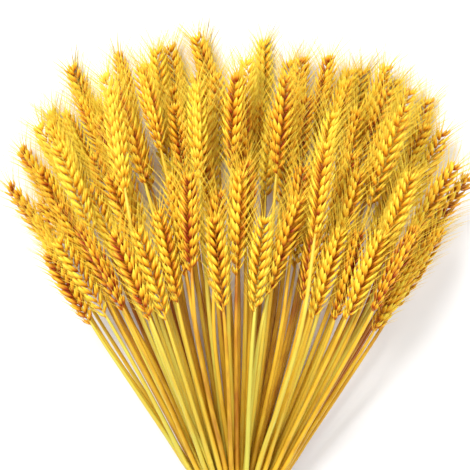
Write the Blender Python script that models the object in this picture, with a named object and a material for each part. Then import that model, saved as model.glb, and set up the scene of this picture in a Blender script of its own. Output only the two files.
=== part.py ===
"""A bunch of dried wheat lying on a surface, held by turns of twine at its neck.

Metres, +Z up. The bunch lies along +Y, ears first, and the origin is on the surface under the middle of the tie.
A stalk is one straw with its ear and awns. Neighbouring stalks are joined in pairs, where the tie presses their
straws together.
"""

import math
import random

import bmesh
import bpy
import numpy as np
from mathutils import Vector

SEED = 7

# The neck: rows of straws lying on each other, from the surface up, with an even number in each row.
ROWS = (4, 8, 10, 12, 12, 12, 12, 10, 6, 4)
STRAW_PITCH = 0.0033
ROW_RISE = 0.0031
NECK_HALF_LENGTH = 0.012
TAIL_LENGTH = 0.052
TAIL_SPREAD = 1.28
TAIL_RISE = 1.06
TAIL_UNEVEN = 0.004

# The fan that the straws open into. A straw's sideways travel is its share * (slope * run + bend * run**3).
FAN_SLOPE = 0.50
FAN_BEND = 1.20
HEAD_HEIGHT = 0.070
HEAD_OPENS_OVER = 0.170
EDGE_SINKS_FROM = 0.48
EDGE_SINKS_BY = 1.40

# How far from the tie the ears end: the lowest row reaches furthest, the top row and the sides less.
REACH = 0.388
TOP_ROW_SHORTER = 0.130
ROW_POWER = 1.3
SIDES_SHORTER = 0.112
SIDE_POWER = 2.4
REACH_UNEVEN = 0.013
SIDEWAYS_UNEVEN = 0.006
HEIGHT_UNEVEN = 0.002
LEAN_FROM = 0.120
LEAN_UNEVEN = 0.012

# A straw: its half width across the corners at the cut end, the neck, the widest place and under the ear.
STRAW_SIDES = 4
STRAW_TAIL, STRAW_NECK, STRAW_WIDEST, STRAW_TOP = 0.0018, 0.0018, 0.0022, 0.0013
WIDEST_AT = 0.060
STRAW_STATIONS = (0.110, 0.170)

# An ear: a core of four ridges, with a pointed scale raised from each face between two rings.
EAR_LENGTH, EAR_UNEVEN = 0.070, 0.006
EAR_RINGS = 7
EAR_NECK = 0.005
CORE_SIDE, CORE_FACE = 0.0044, 0.0033
SCALE_SIDE, SCALE_FACE = 0.0066, 0.0046
SCALE_FORWARD = 1.25
TIP_LENGTH = 0.006
ROLL_MOST = math.radians(60)

# Awns: the bristles that the scales near the ear's tip end in.
AWN_LENGTH, AWN_UNEVEN = 0.019, 0.005
AWN_SHARE = 0.08
AWN_SPLAYS = (0.30, 0.18, 0.06)
AWN_SCALES = ((6, 0), (6, 2))

# Ears that stand out in the bunch: the row, then the tip and the base in millimetres to the right and from the tie.
SET_EARS = (
    (0, -34, 388, -28, 320), (0, 21, 390, 20, 322), (0, 47, 373, 44, 304),
    (1, -133, 369, -108, 304), (1, -100, 378, -84, 312), (1, -53, 384, -40, 316), (1, -14, 391, 6, 328),
    (1, 98, 367, 85, 298), (1, 128, 358, 110, 290),
    (2, -154, 333, -126, 269), (2, -70, 381, -64, 315), (2, 152, 343, 133, 276),
    (3, -163, 303, -125, 238), (3, 160, 316, 131, 251),
    (4, -171, 273, -119, 199), (4, 168, 280, 118, 211),
    (5, -143, 258, -90, 196), (5, 156, 288, 116, 225),
    (6, -60, 360, -44, 296), (6, 8, 356, 14, 283), (6, 108, 262, 78, 194), (6, 125, 330, 97, 253),
    (7, -132, 300, -104, 232), (7, -82, 341, -60, 270), (7, -36, 345, -33, 273), (7, -2, 352, -6, 281),
    (7, 33, 351, 26, 277), (7, 80, 238, 62, 171), (7, 122, 279, 97, 213),
    (8, -95, 339, -83, 262), (8, -16, 266, -20, 194), (8, 62, 251, 50, 185),
    (9, -2, 280, -5, 204), (9, -39, 278, -37, 206), (9, 45, 262, 21, 190), (9, 64, 300, 55, 230),
)

CLEARANCE = 0.0008
NUDGE_ROUNDS = 600
NUDGE_FROM = 0.034
NUDGE_STEP = 0.007
NUDGE_STIFFNESS = 0.05
NUDGE_REACHES = 0.040
EDGE_ALLOWS = 0.009
SIDEWAYS_GIVES = 0.7
NUDGE_STRENGTH = 1.6
SET_EAR_GIVES = 0.25

# The tie: turns of twine side by side, with a knot and two cut ends on top.
TWINE = 0.0026
TWINE_TURNS = 3
TIE_GAP = 0.0004
TIE_SEGMENTS = 24
TIE_FLAT = 0.0009
KNOT_RADIUS = 0.0034
TWINE_END = 0.022

STRAW_COLOUR = (0.84, 0.58, 0.10, 1.0)
TWINE_COLOUR = (0.62, 0.46, 0.26, 1.0)


def smooth(share):
    """Rises gently from 0 to 1 as share does."""
    share = np.clip(share, 0.0, 1.0)
    return share * share * (3.0 - 2.0 * share)


def opened(y):
    """How far the bunch has opened at this distance from the tie, from 0 to 1."""
    return smooth((y - NECK_HALF_LENGTH) / HEAD_OPENS_OVER)


def leaned(y):
    """How far a stalk's own lean shows at this distance from the tie, growing from the middle of the straw."""
    return np.clip((y - LEAN_FROM) / (REACH - LEAN_FROM), 0.0, 2.0) ** 2


def neck_half_sizes():
    """Half the width and height of the ellipse that holds every straw's corner in the neck, with the tie's gap."""
    corner = STRAW_NECK * math.cos(math.pi / STRAW_SIDES)
    wide = (max(ROWS) / 2) * STRAW_PITCH
    high = (len(ROWS) / 2) * ROW_RISE
    most = 0.0
    for row, count in enumerate(ROWS):
        z = abs(row - (len(ROWS) - 1) / 2) * ROW_RISE + corner
        x = ((count - 1) / 2 + 0.25) * STRAW_PITCH + corner
        most = max(most, math.hypot(x / wide, z / high))
    return wide * most + TIE_GAP, high * most + TIE_GAP


NECK_WIDE, NECK_HIGH = neck_half_sizes()
NECK_HEIGHT = NECK_HIGH + TWINE - TIE_FLAT


class Stalk:
    """One straw and its ear, by the place of the straw in the neck and of the ear in the head."""

    def __init__(self, row, place, draw):
        aside = 0.25 if row % 2 else -0.25
        middle = (len(ROWS) - 1) / 2
        self.row = row
        self.neck_x = (place - (ROWS[row] - 1) / 2 + aside) * STRAW_PITCH
        self.neck_z = NECK_HEIGHT + (row - middle) * ROW_RISE
        self.across = self.neck_x / (max(ROWS) / 2 * STRAW_PITCH)
        self.up = (row - middle) / middle
        lowest = -1.0 + EDGE_SINKS_BY * max(0.0, abs(self.across) - EDGE_SINKS_FROM)
        self.head_z = SCALE_FACE + (self.up - lowest) * HEAD_HEIGHT / 2
        self.aside = draw.uniform(-SIDEWAYS_UNEVEN, SIDEWAYS_UNEVEN)
        self.above = draw.uniform(-HEIGHT_UNEVEN, HEIGHT_UNEVEN)
        self.sway = draw.uniform(-LEAN_UNEVEN, LEAN_UNEVEN)
        self.lift = 0.0
        self.reach = (
            REACH
            - TOP_ROW_SHORTER * ((self.up + 1) / 2) ** ROW_POWER
            - SIDES_SHORTER * abs(self.across) ** SIDE_POWER
            + draw.uniform(-REACH_UNEVEN, REACH_UNEVEN)
        )
        length = EAR_LENGTH + draw.uniform(-EAR_UNEVEN, EAR_UNEVEN)
        lean = self.across * (FAN_SLOPE + 3 * FAN_BEND * self.reach**2)
        self.ear_base = self.reach - length / math.hypot(1.0, lean)
        self.roll = draw.uniform(-ROLL_MOST, ROLL_MOST)
        self.tail = TAIL_LENGTH + draw.uniform(-TAIL_UNEVEN, TAIL_UNEVEN)
        self.draw_awns = [draw.uniform(-1.0, 1.0) for _ in AWN_SCALES]
        self.gives = 1.0

    def place_in_fan(self, y):
        """Where the middle would be by the rule alone, before the stalk's own offsets."""
        run = max(0.0, y - NECK_HALF_LENGTH)
        x = self.neck_x + self.across * (FAN_SLOPE * run + FAN_BEND * run**3)
        z = self.neck_z + (self.head_z - self.neck_z) * float(opened(y))
        return x, z

    def set_ear(self, tip_x, tip_y, base_x, base_y):
        """Leads the ear to a stated tip and base."""
        self.reach, self.ear_base = tip_y, base_y
        at_tip = tip_x - self.place_in_fan(tip_y)[0]
        at_base = base_x - self.place_in_fan(base_y)[0]
        self.sway = (at_tip - at_base) / float(leaned(tip_y) - leaned(base_y))
        self.aside = at_base - self.sway * float(leaned(base_y))
        self.gives = SET_EAR_GIVES

    def stations(self):
        """Where the straw has its rings, from the front of the tie to under the ear."""
        under_ear = self.ear_base - EAR_NECK
        between = [y for y in STRAW_STATIONS if y < under_ear - EAR_NECK]
        return (NECK_HALF_LENGTH, WIDEST_AT, *between, under_ear)

    def course(self, y):
        """The fan's place and the two weights of the stalk's own offsets. A straw is straight between its rings."""
        for before, after in zip(self.stations(), self.stations()[1:]):
            if before <= y < after:
                share = (y - before) / (after - before)
                return self.bent(before) * (1 - share) + self.bent(after) * share
        return self.bent(y)

    def bent(self, y):
        return np.array([*self.place_in_fan(y), float(opened(y)), float(leaned(y))])

    def centre(self, y):
        """The middle of the straw or ear at this distance from the tie."""
        if y < -NECK_HALF_LENGTH:
            spread = float(smooth((-y - NECK_HALF_LENGTH) / (TAIL_LENGTH - NECK_HALF_LENGTH)))
            x = self.neck_x * (1 + (TAIL_SPREAD - 1) * spread)
            rise = (self.neck_z - NECK_HEIGHT) * (1 + (TAIL_RISE - 1) * spread)
            return Vector((x, y, NECK_HEIGHT + rise))
        x, z, here, late = self.course(y)
        return Vector((x + self.aside * here + self.sway * late, y, z + self.above * here + self.lift * late))

    def slope(self, y):
        """How steeply the stalk runs sideways there."""
        step = 0.002
        return (self.centre(y + step).x - self.centre(y - step).x) / (2 * step)

    def frame(self, y):
        """The centre, and the forward, sideways and upward directions of the stalk there."""
        step = 0.002
        forward = (self.centre(y + step) - self.centre(y - step)).normalized()
        sideways = forward.cross(Vector((0, 0, 1))).normalized()
        return self.centre(y), forward, sideways, sideways.cross(forward)

    def straw_radius(self, y):
        if y < WIDEST_AT:
            grown = float(smooth((y - NECK_HALF_LENGTH) / (WIDEST_AT - NECK_HALF_LENGTH)))
            return STRAW_NECK + (STRAW_WIDEST - STRAW_NECK) * grown
        share = (y - WIDEST_AT) / (self.ear_base - WIDEST_AT)
        return STRAW_WIDEST + (STRAW_TOP - STRAW_WIDEST) * min(1.0, share)

    def room(self, y):
        """The radius that this stalk takes up at this distance from the tie, or none past its tip."""
        if y > self.reach + TIP_LENGTH:
            return 0.0
        if y < self.ear_base - EAR_NECK:
            return self.straw_radius(y)
        share = min(1.0, max(0.0, (y - self.ear_base) / (self.reach - self.ear_base)))
        return SCALE_SIDE * max(fullness(share), fullness(max(0.0, share - SCALE_FORWARD / EAR_RINGS)))


def fullness(share):
    """How full the ear is along its length, from its base to its tip."""
    return math.sin(math.pi * (0.12 + 0.80 * share)) ** 0.6


def place_set_ears(stalks):
    """Gives each stated ear to the stalk of its row that passes nearest to its base."""
    free = list(stalks)
    for row, *places in SET_EARS:
        tip_x, tip_y, base_x, base_y = [place / 1000 for place in places]
        near = min(
            (stalk for stalk in free if stalk.row == row),
            key=lambda stalk: abs(stalk.place_in_fan(base_y)[0] - base_x),
        )
        near.set_ear(tip_x, tip_y, base_x, base_y)
        free.remove(near)


def loosen(stalks):
    """Moves the stalks sideways and up, near and far, until none touches another. Returns what is still lacking."""
    stations = np.arange(NUDGE_FROM, REACH + 2 * REACH_UNEVEN, NUDGE_STEP)
    rooms = np.array([[stalk.room(y) for stalk in stalks] for y in stations])
    slants = np.array([[math.hypot(1.0, stalk.slope(y)) for stalk in stalks] for y in stations])
    courses = np.array([[stalk.course(y) for stalk in stalks] for y in stations])
    places, modes = courses[..., :2], courses[..., 2:]
    pull = modes / ((modes**2).sum(axis=2, keepdims=True) + NUDGE_STIFFNESS)
    runs = stations - NECK_HALF_LENGTH
    edges = max(ROWS) / 2 * STRAW_PITCH + FAN_SLOPE * runs + FAN_BEND * runs**3 + EDGE_ALLOWS
    offsets = np.array([[(stalk.aside, stalk.above), (stalk.sway, stalk.lift)] for stalk in stalks])
    gives = np.array([(stalk.gives * SIDEWAYS_GIVES, 1.0) for stalk in stalks])
    lowest = np.array([0.9 * SCALE_FACE - stalk.head_z for stalk in stalks])
    one, other = np.triu_indices(len(stalks), 1)
    near = np.linalg.norm(places[:, one] - places[:, other], axis=2).min(axis=0) < NUDGE_REACHES
    one, other = one[near], other[near]
    signs = np.zeros((len(one), len(stalks)))
    signs[np.arange(len(one)), one] = 1
    signs[np.arange(len(one)), other] = -1
    need = (rooms[:, one] + rooms[:, other] + CLEARANCE) * (rooms[:, one] * rooms[:, other] > 0)
    wide = np.sqrt(slants[:, one] * slants[:, other])
    for _ in range(NUDGE_ROUNDS):
        middles = places + np.einsum("sim,imc->sic", modes, offsets)
        apart = middles[:, one] - middles[:, other]
        distance = np.maximum(np.hypot(apart[..., 0] / wide, apart[..., 1]), 1e-6)
        lack = np.maximum(0.0, need - distance)
        shares = apart * (lack / distance)[..., None] / 2
        pushes = (shares.transpose(0, 2, 1) @ signs).transpose(0, 2, 1)
        past_edge = np.maximum(0.0, np.abs(middles[..., 0]) - edges[:, None]) * (rooms > 0)
        pushes[..., 0] -= np.sign(middles[..., 0]) * past_edge
        busy = np.maximum(1, ((lack > 0) @ np.abs(signs) > 0).sum(axis=0))
        change = np.einsum("sim,sic->imc", pull, pushes) / busy[:, None, None]
        offsets += NUDGE_STRENGTH * change * gives[:, None]
        offsets[:, 0, 1] = np.maximum(offsets[:, 0, 1], lowest)
        offsets[:, 1, 1] = np.maximum(offsets[:, 1, 1], lowest - offsets[:, 0, 1])
    for stalk, ((aside, above), (sway, lift)) in zip(stalks, offsets):
        stalk.aside, stalk.above, stalk.sway, stalk.lift = map(float, (aside, above, sway, lift))
    return float(lack.max())


def plan_stalks():
    """Every stalk, row by row."""
    draw = random.Random(SEED)
    stalks = [Stalk(row, place, draw) for row, count in enumerate(ROWS) for place in range(count)]
    place_set_ears(stalks)
    loosen(stalks)
    return stalks


def ring_at(mesh, place, radii, turn):
    """Four points round the stalk: right, face, left and back, with those half widths."""
    centre, _, sideways, upward = place
    points = []
    for corner, radius in enumerate(radii):
        angle = turn + corner * math.tau / STRAW_SIDES
        offset = sideways * (radius * math.cos(angle)) + upward * (radius * math.sin(angle))
        points.append(mesh.verts.new(centre + offset))
    return points


def skin(mesh, lower, upper):
    """The faces between two rings."""
    sides = len(lower)
    return [
        mesh.faces.new((lower[k], lower[(k + 1) % sides], upper[(k + 1) % sides], upper[k]))
        for k in range(sides)
    ]


def raise_scale(mesh, corners, peak, awn_tip):
    """Turns one face of the core into a pointed scale, and gives its point an awn where there is one."""
    if awn_tip is None:
        point = mesh.verts.new(peak)
        for k in range(4):
            mesh.faces.new((corners[k], corners[(k + 1) % 4], point))
        return
    collar = [mesh.verts.new(peak.lerp(corner.co, AWN_SHARE)) for corner in corners]
    skin(mesh, corners, collar)
    point = mesh.verts.new(awn_tip)
    for k in range(4):
        mesh.faces.new((collar[k], collar[(k + 1) % 4], point))


def awn_end(stalk, stalks, awns, start, outward, forward, length):
    """Where an awn from this point can end clear of every stalk and every other awn, or None."""
    steps = 8
    for splay in AWN_SPLAYS:
        direction = (forward + outward * splay).normalized()
        points = [start + direction * (length * k / steps) for k in range(1, steps + 1)]
        if any(point.z < CLEARANCE for point in points):
            continue
        others = [other for other in stalks if other is not stalk]
        touches = any(
            (other.centre(point.y) - point).length < other.room(point.y) + CLEARANCE
            for point in points
            for other in others
            if other.room(point.y) > 0
        )
        crosses = any((point - other).length < 3 * CLEARANCE for point in points for other in awns)
        if not touches and not crosses:
            awns.extend(points)
            return points[-1]
    return None


def grow_straw(mesh, stalk):
    """The straw from its cut end to the base of the ear. Returns its last ring and the faces round the neck."""
    under_ear = stalk.ear_base - EAR_NECK
    stations = (-stalk.tail, -NECK_HALF_LENGTH, *stalk.stations())
    square = math.pi / 4 if stalk.roll >= 0 else -math.pi / 4
    rings = []
    neck = []
    for y in stations:
        share = max(0.0, y - NECK_HALF_LENGTH) / (under_ear - NECK_HALF_LENGTH)
        turn = square + (stalk.roll - square) * share
        radius = STRAW_TAIL if y < -NECK_HALF_LENGTH else stalk.straw_radius(y)
        rings.append(ring_at(mesh, stalk.frame(y), [radius] * STRAW_SIDES, turn))
    mesh.faces.new(rings[0])
    for k, (lower, upper) in enumerate(zip(rings, rings[1:])):
        faces = skin(mesh, lower, upper)
        if k == 1:
            neck = faces
    return rings[-1], neck


def grow_ear(mesh, stalk, stalks, awns, straw_end):
    """The ear: rings of the core, a scale on each face between two rings, and a point at the end."""
    pitch = (stalk.reach - stalk.ear_base) / EAR_RINGS
    radii = (CORE_SIDE, CORE_FACE, CORE_SIDE, CORE_FACE)
    slants = (0.25, 0.0, -0.25, 0.0)
    rings = []
    for k in range(EAR_RINGS + 1):
        full = fullness(k / EAR_RINGS)
        points = []
        for corner in range(STRAW_SIDES):
            slant = slants[corner] * pitch if 0 < k < EAR_RINGS else 0.0
            place = stalk.frame(stalk.ear_base + k * pitch + slant)
            angle = stalk.roll + corner * math.tau / STRAW_SIDES
            across = place[2] * math.cos(angle) + place[3] * math.sin(angle)
            points.append(mesh.verts.new(place[0] + across * (radii[corner] * full)))
        rings.append(points)
    skin(mesh, straw_end, rings[0])
    for k, (lower, upper) in enumerate(zip(rings, rings[1:])):
        full = fullness((k + 0.7) / EAR_RINGS)
        for side in range(STRAW_SIDES):
            corners = (lower[side], lower[(side + 1) % 4], upper[(side + 1) % 4], upper[side])
            slant = 0.25 if side in (0, 3) else -0.25
            y = stalk.ear_base + (k + SCALE_FORWARD + slant) * pitch
            centre, forward, sideways, upward = stalk.frame(y)
            flank = sideways * math.cos(stalk.roll) + upward * math.sin(stalk.roll)
            face = upward * math.cos(stalk.roll) - sideways * math.sin(stalk.roll)
            outward = flank * (SCALE_SIDE if side in (0, 3) else -SCALE_SIDE)
            outward += face * (SCALE_FACE if side in (0, 1) else -SCALE_FACE)
            peak = centre + outward * full
            awn_tip = None
            if (k, side) in AWN_SCALES:
                drawn = stalk.draw_awns[AWN_SCALES.index((k, side))]
                length = AWN_LENGTH + AWN_UNEVEN * drawn
                awn_tip = awn_end(stalk, stalks, awns, peak, outward.normalized(), forward, length)
            raise_scale(mesh, corners, peak, awn_tip)
    centre = stalk.frame(stalk.reach + TIP_LENGTH)[0]
    point = mesh.verts.new(centre)
    for k in range(4):
        mesh.faces.new((rings[-1][k], rings[-1][(k + 1) % 4], point))


def press_together(mesh, left_faces, right_faces):
    """Joins two straws in the neck by bridging the faces that look at each other."""
    from_left = max(left_faces, key=lambda face: face.calc_center_median().x)
    from_right = min(right_faces, key=lambda face: face.calc_center_median().x)
    edges = list(from_left.edges) + list(from_right.edges)
    bmesh.ops.delete(mesh, geom=[from_left, from_right], context="FACES_ONLY")
    bmesh.ops.bridge_loops(mesh, edges=edges)


def settle(mesh):
    """What would reach under the surface is pressed flat on it."""
    for vert in mesh.verts:
        vert.co.z = max(vert.co.z, 0.0)


def paint(name, colour, roughness):
    material = bpy.data.materials.new(name)
    material.use_nodes = True
    shader = material.node_tree.nodes["Principled BSDF"]
    shader.inputs["Base Color"].default_value = colour
    shader.inputs["Roughness"].default_value = roughness
    return material


def add_object(name, mesh, material):
    bmesh.ops.recalc_face_normals(mesh, faces=mesh.faces)
    data = bpy.data.meshes.new(name)
    mesh.to_mesh(data)
    mesh.free()
    data.materials.append(material)
    made = bpy.data.objects.new(name, data)
    bpy.context.scene.collection.objects.link(made)
    return made


def make_pairs(material):
    """Two neighbouring stalks to an object."""
    stalks = plan_stalks()
    awns = []
    for number, (left, right) in enumerate(zip(stalks[0::2], stalks[1::2]), start=1):
        mesh = bmesh.new()
        necks = []
        for stalk in (left, right):
            straw_end, neck = grow_straw(mesh, stalk)
            grow_ear(mesh, stalk, stalks, awns, straw_end)
            necks.append(neck)
        press_together(mesh, *necks)
        settle(mesh)
        add_object(f"wheat_pair_{number:02d}", mesh, material)


def twine_profile():
    """Points across the band: (along the bunch, outwards from the inside), round turns outside and flat inside."""
    half = TWINE_TURNS * TWINE / 2
    outline = [(-half, 0.0)]
    for turn in range(TWINE_TURNS):
        start = -half + turn * TWINE
        outline += [(start + TWINE * share, TWINE * rise) for share, rise in ((0.12, 0.72), (0.5, 1.0), (0.88, 0.72))]
    outline.append((half, 0.0))
    return outline


def make_band(mesh):
    rings = []
    for k in range(TIE_SEGMENTS):
        angle = math.tau * (k + 0.5) / TIE_SEGMENTS
        out = 1.0 / math.cos(math.pi / TIE_SEGMENTS)
        ring = []
        for along, thick in twine_profile():
            x = (NECK_WIDE * out + thick) * math.cos(angle)
            z = NECK_HEIGHT + (NECK_HIGH * out + thick) * math.sin(angle)
            ring.append(mesh.verts.new((x, along, z)))
        rings.append(ring)
    for k, ring in enumerate(rings):
        skin(mesh, ring, rings[(k + 1) % TIE_SEGMENTS])


def make_tie(material):
    """The band of twine, with its knot and two ends fused on."""
    band_mesh = bmesh.new()
    make_band(band_mesh)
    for vert in band_mesh.verts:
        vert.co.z = max(vert.co.z, 0.0)
    band = add_object("twine_tie", band_mesh, material)
    top = NECK_HEIGHT + NECK_HIGH + TWINE
    extras = bpy.data.collections.new("knot")
    bpy.context.scene.collection.children.link(extras)
    knot = bmesh.new()
    bmesh.ops.create_uvsphere(knot, u_segments=8, v_segments=5, radius=KNOT_RADIUS)
    for vert in knot.verts:
        vert.co = Vector((vert.co.x * 1.25, vert.co.y, vert.co.z * 0.75 + top))
    pieces = [add_object("knot_lump", knot, material)]
    for side in (-1, 1):
        end = bmesh.new()
        bmesh.ops.create_cone(
            end, segments=6, radius1=TWINE / 2, radius2=TWINE / 2 * 0.8, depth=TWINE_END, cap_ends=True
        )
        aim = Vector((side * 0.75, -0.62, 0.16)).normalized()
        turn = Vector((0, 0, 1)).rotation_difference(aim).to_matrix()
        for vert in end.verts:
            vert.co = turn @ vert.co + aim * (TWINE_END / 2) + Vector((0, 0, top))
        pieces.append(add_object(f"twine_end_{side}", end, material))
    for piece in pieces:
        bpy.context.scene.collection.objects.unlink(piece)
        extras.objects.link(piece)
    join = band.modifiers.new("join", "BOOLEAN")
    join.operation = "UNION"
    join.operand_type = "COLLECTION"
    join.collection = extras
    join.solver = "EXACT"
    bpy.context.view_layer.update()
    graph = bpy.context.evaluated_depsgraph_get()
    joined = bpy.data.meshes.new_from_object(band.evaluated_get(graph))
    band.modifiers.clear()
    band.data = joined
    for piece in pieces:
        bpy.data.objects.remove(piece)
    bpy.data.collections.remove(extras)


def main():
    for old in list(bpy.data.objects):
        bpy.data.objects.remove(old)
    make_pairs(paint("dried_wheat", STRAW_COLOUR, 0.7))
    make_tie(paint("twine", TWINE_COLOUR, 0.9))


main()
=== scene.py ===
# %% [markdown]
# A bunch of dried wheat, dyed golden yellow, lies on a white surface. A hundred straws come together at a
# neck, where twine holds them, and open into a fan of bristly ears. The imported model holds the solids, two
# stalks to a node, with coarse ears. This file dresses each pair of stalks with finer husks, awns and straws
# that keep the solids' places, and adds ten shorter stalks which the solids leave out.

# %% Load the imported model
import math
import random

import bmesh
import bpy
import numpy as np
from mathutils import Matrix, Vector


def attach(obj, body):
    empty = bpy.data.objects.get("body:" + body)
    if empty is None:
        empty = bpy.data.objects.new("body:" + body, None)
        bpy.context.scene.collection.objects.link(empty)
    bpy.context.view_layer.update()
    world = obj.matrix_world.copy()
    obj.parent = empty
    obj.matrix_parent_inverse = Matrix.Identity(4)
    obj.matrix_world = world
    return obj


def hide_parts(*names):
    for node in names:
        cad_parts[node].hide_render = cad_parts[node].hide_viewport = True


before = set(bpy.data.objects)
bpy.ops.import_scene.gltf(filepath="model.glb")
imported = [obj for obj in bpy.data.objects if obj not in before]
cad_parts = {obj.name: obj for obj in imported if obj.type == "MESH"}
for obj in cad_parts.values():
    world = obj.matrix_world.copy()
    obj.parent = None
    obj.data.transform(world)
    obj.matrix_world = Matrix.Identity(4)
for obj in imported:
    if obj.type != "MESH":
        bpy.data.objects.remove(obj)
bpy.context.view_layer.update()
pair_nodes = sorted(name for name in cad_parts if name.startswith("wheat_pair"))
print("pairs of stalks:", len(pair_nodes))

# %% [markdown]
# Every stalk follows one rule, the same as in the solids. Its straw has a place in the neck, which sends it
# into the fan, and its ear ends at a reach that falls off towards the sides and the top of the bunch. The
# rule could be replaced by points read from the solids, but a rule with named sizes can be changed and
# understood, and it also gives the smooth course between the solids' corners.

# %% The neck, the fan and the head
SEED = 7
ROWS = (4, 8, 10, 12, 12, 12, 12, 10, 6, 4)
STRAW_PITCH = 0.0033
ROW_RISE = 0.0031
NECK_HALF_LENGTH = 0.012
TAIL_LENGTH, TAIL_UNEVEN = 0.052, 0.004
TAIL_SPREAD, TAIL_RISE = 1.28, 1.06
FAN_SLOPE, FAN_BEND = 0.50, 1.20
HEAD_HEIGHT, HEAD_OPENS_OVER = 0.070, 0.170
EDGE_SINKS_FROM, EDGE_SINKS_BY = 0.48, 1.40
REACH, REACH_UNEVEN = 0.388, 0.013
TOP_ROW_SHORTER, ROW_POWER = 0.130, 1.3
SIDES_SHORTER, SIDE_POWER = 0.112, 2.4
SIDEWAYS_UNEVEN, HEIGHT_UNEVEN = 0.006, 0.002
LEAN_FROM, LEAN_UNEVEN = 0.120, 0.012
ROW_HALF_WIDTH = max(ROWS) / 2 * STRAW_PITCH


def fan_edge(run):
    """How far the edge of the fan is from its middle, so far in front of the tie."""
    return ROW_HALF_WIDTH + FAN_SLOPE * run + FAN_BEND * run**3


def along_bunch(length, across, y):
    """How far a piece of stalk of this length reaches along the bunch, where it leans in the fan."""
    return length / math.hypot(1.0, across * (FAN_SLOPE + 3 * FAN_BEND * y**2))


print("stalks in the neck:", sum(ROWS), "in", len(ROWS), "rows")

# %% [markdown]
# The stalks that stand out most in the bunch have a stated tip and base, so that the front of the head looks
# as it does from where the camera stands. All others fall where the rule and a seeded draw put them.

# %% Ears with a stated place
# Each has its row, then the tip and the base, in millimetres to the right and from the tie.
SET_EARS = (
    (0, -34, 388, -28, 320), (0, 21, 390, 20, 322), (0, 47, 373, 44, 304),
    (1, -133, 369, -108, 304), (1, -100, 378, -84, 312), (1, -53, 384, -40, 316), (1, -14, 391, 6, 328),
    (1, 98, 367, 85, 298), (1, 128, 358, 110, 290),
    (2, -154, 333, -126, 269), (2, -70, 381, -64, 315), (2, 152, 343, 133, 276),
    (3, -163, 303, -125, 238), (3, 160, 316, 131, 251),
    (4, -171, 273, -119, 199), (4, 168, 280, 118, 211),
    (5, -143, 258, -90, 196), (5, 156, 288, 116, 225),
    (6, -60, 360, -44, 296), (6, 8, 356, 14, 283), (6, 108, 262, 78, 194), (6, 125, 330, 97, 253),
    (7, -132, 300, -104, 232), (7, -82, 341, -60, 270), (7, -36, 345, -33, 273), (7, -2, 352, -6, 281),
    (7, 33, 351, 26, 277), (7, 80, 238, 62, 171), (7, 122, 279, 97, 213),
    (8, -95, 339, -83, 262), (8, -16, 266, -20, 194), (8, 62, 251, 50, 185),
    (9, -2, 280, -5, 204), (9, -39, 278, -37, 206), (9, 45, 262, 21, 190), (9, 64, 300, 55, 230),
)
print("ears with a stated place:", len(SET_EARS))

# %% [markdown]
# A straw, an ear and the tie have the same sizes here as in the solids. A straw is widest a little way in
# front of the tie and thinnest under its ear, an ear is fullest just below its middle, and the tie is an
# ellipse that holds every straw of the solids.

# %% Straws, ears and the tie
STRAW_SIDES = 4
STRAW_NECK, STRAW_WIDEST, STRAW_TOP = 0.0018, 0.0022, 0.0013
WIDEST_AT = 0.060
STRAW_STATIONS = (0.110, 0.170)
EAR_LENGTH, EAR_UNEVEN = 0.070, 0.006
EAR_RINGS = 7
EAR_NECK = 0.005
SCALE_SIDE, SCALE_FACE = 0.0066, 0.0046
SCALE_FORWARD = 1.25
FULL_FROM, FULL_SPAN, FULL_POWER = 0.12, 0.80, 0.6
TIP_LENGTH = 0.006
ROLL_MOST = math.radians(60)
AWN_DRAWS = 2
TWINE, TWINE_TURNS = 0.0026, 3
TIE_GAP, TIE_FLAT = 0.0004, 0.0009


def smooth(share):
    """Rises gently from 0 to 1 as share does."""
    share = np.clip(share, 0.0, 1.0)
    return share * share * (3.0 - 2.0 * share)


def opened(y):
    """How far the bunch has opened at this distance from the tie, from 0 to 1."""
    return smooth((y - NECK_HALF_LENGTH) / HEAD_OPENS_OVER)


def leaned(y):
    """How far a stalk's own lean shows at this distance from the tie."""
    return np.clip((y - LEAN_FROM) / (REACH - LEAN_FROM), 0.0, 2.0) ** 2


def fullness(share):
    """How full the ear is along its length, from its base to its tip."""
    return math.sin(math.pi * (FULL_FROM + FULL_SPAN * share)) ** FULL_POWER


def neck_half_sizes():
    """Half the width and height of the ellipse that holds every straw in the neck, with the tie's gap."""
    corner = STRAW_NECK * math.cos(math.pi / STRAW_SIDES)
    high = (len(ROWS) / 2) * ROW_RISE
    most = 0.0
    for row, count in enumerate(ROWS):
        z = abs(row - (len(ROWS) - 1) / 2) * ROW_RISE + corner
        x = ((count - 1) / 2 + 0.25) * STRAW_PITCH + corner
        most = max(most, math.hypot(x / ROW_HALF_WIDTH, z / high))
    return ROW_HALF_WIDTH * most + TIE_GAP, high * most + TIE_GAP


NECK_WIDE, NECK_HIGH = neck_half_sizes()
NECK_HEIGHT = NECK_HIGH + TWINE - TIE_FLAT
print("the neck is", round(NECK_WIDE * 2000), "by", round(NECK_HIGH * 2000), "mm")

# %% [markdown]
# A stalk knows its place in the fan at any distance from the tie, and two offsets of its own: one that grows
# as the bunch opens, and one that bends it near its ear. Between the corners of its solid a straw is taken
# as straight, as the solids have it, so that both plans come out alike.


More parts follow.
